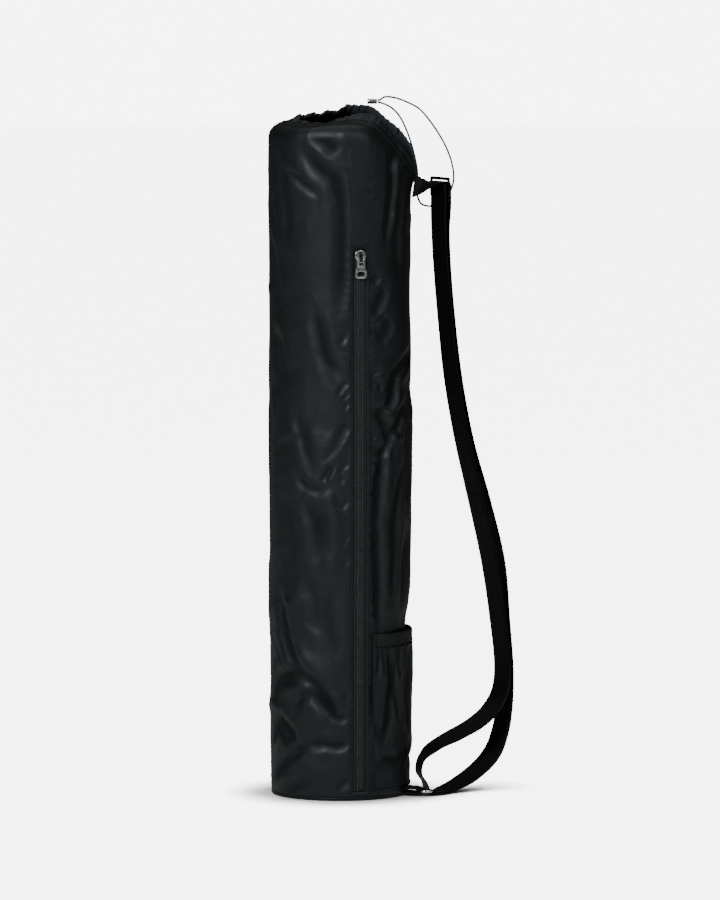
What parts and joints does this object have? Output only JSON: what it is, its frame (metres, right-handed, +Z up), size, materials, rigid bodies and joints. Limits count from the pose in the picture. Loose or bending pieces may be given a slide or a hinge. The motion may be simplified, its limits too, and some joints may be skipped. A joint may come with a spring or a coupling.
{
  "type": "yoga mat bag",
  "caption": "Tall round drawstring mat bag in black nylon, standing, with a ruffled mouth, long front zip, elastic side pocket and a webbing shoulder strap.",
  "frame": {"origin": "centre of the base panel's underside, on the floor", "axes": "+Z up along the tube, +X towards the strap's side, -Y the front, where the zip is"},
  "size_m": [0.2567, 0.1509, 0.7237],
  "materials": {
    "nylon": "plain woven black nylon with a satin sheen",
    "zip_tape": "matte woven black tape",
    "zip_coil": "fine black nylon coil",
    "elastic": "matte black elastic binding",
    "webbing": "ribbed black polypropylene webbing with a slight sheen",
    "cord": "black braided elastic cord",
    "bright_metal": "polished nickel",
    "dark_metal": "dark nickel with bright edges"
  },
  "bodies": {
    "bag": {"bag_body": "nylon", "mouth_hem": "nylon", "base_panel": "nylon", "zipper_tape": "zip_tape", "zipper_coil": "zip_coil", "zipper_slider": "bright_metal", "side_pocket": "nylon", "pocket_band": "elastic", "strap_inner": "webbing", "strap_outer": "webbing", "top_tab": "webbing", "strap_slider": "dark_metal", "bottom_tab": "webbing", "bottom_ring": "bright_metal", "cord_stopper": "bright_metal", "drawcord": "cord"},
    "pull": {"zip_pull": "bright_metal"}
  },
  "joints": [
    {"name": "zip_pull_hinge", "type": "hinge", "parent": "bag", "child": "pull", "pos_m": [0.02214, -0.07379, 0.5615], "axis": [-0.9578, -0.2874, 0], "range_deg": [0, 140]}
  ]
}
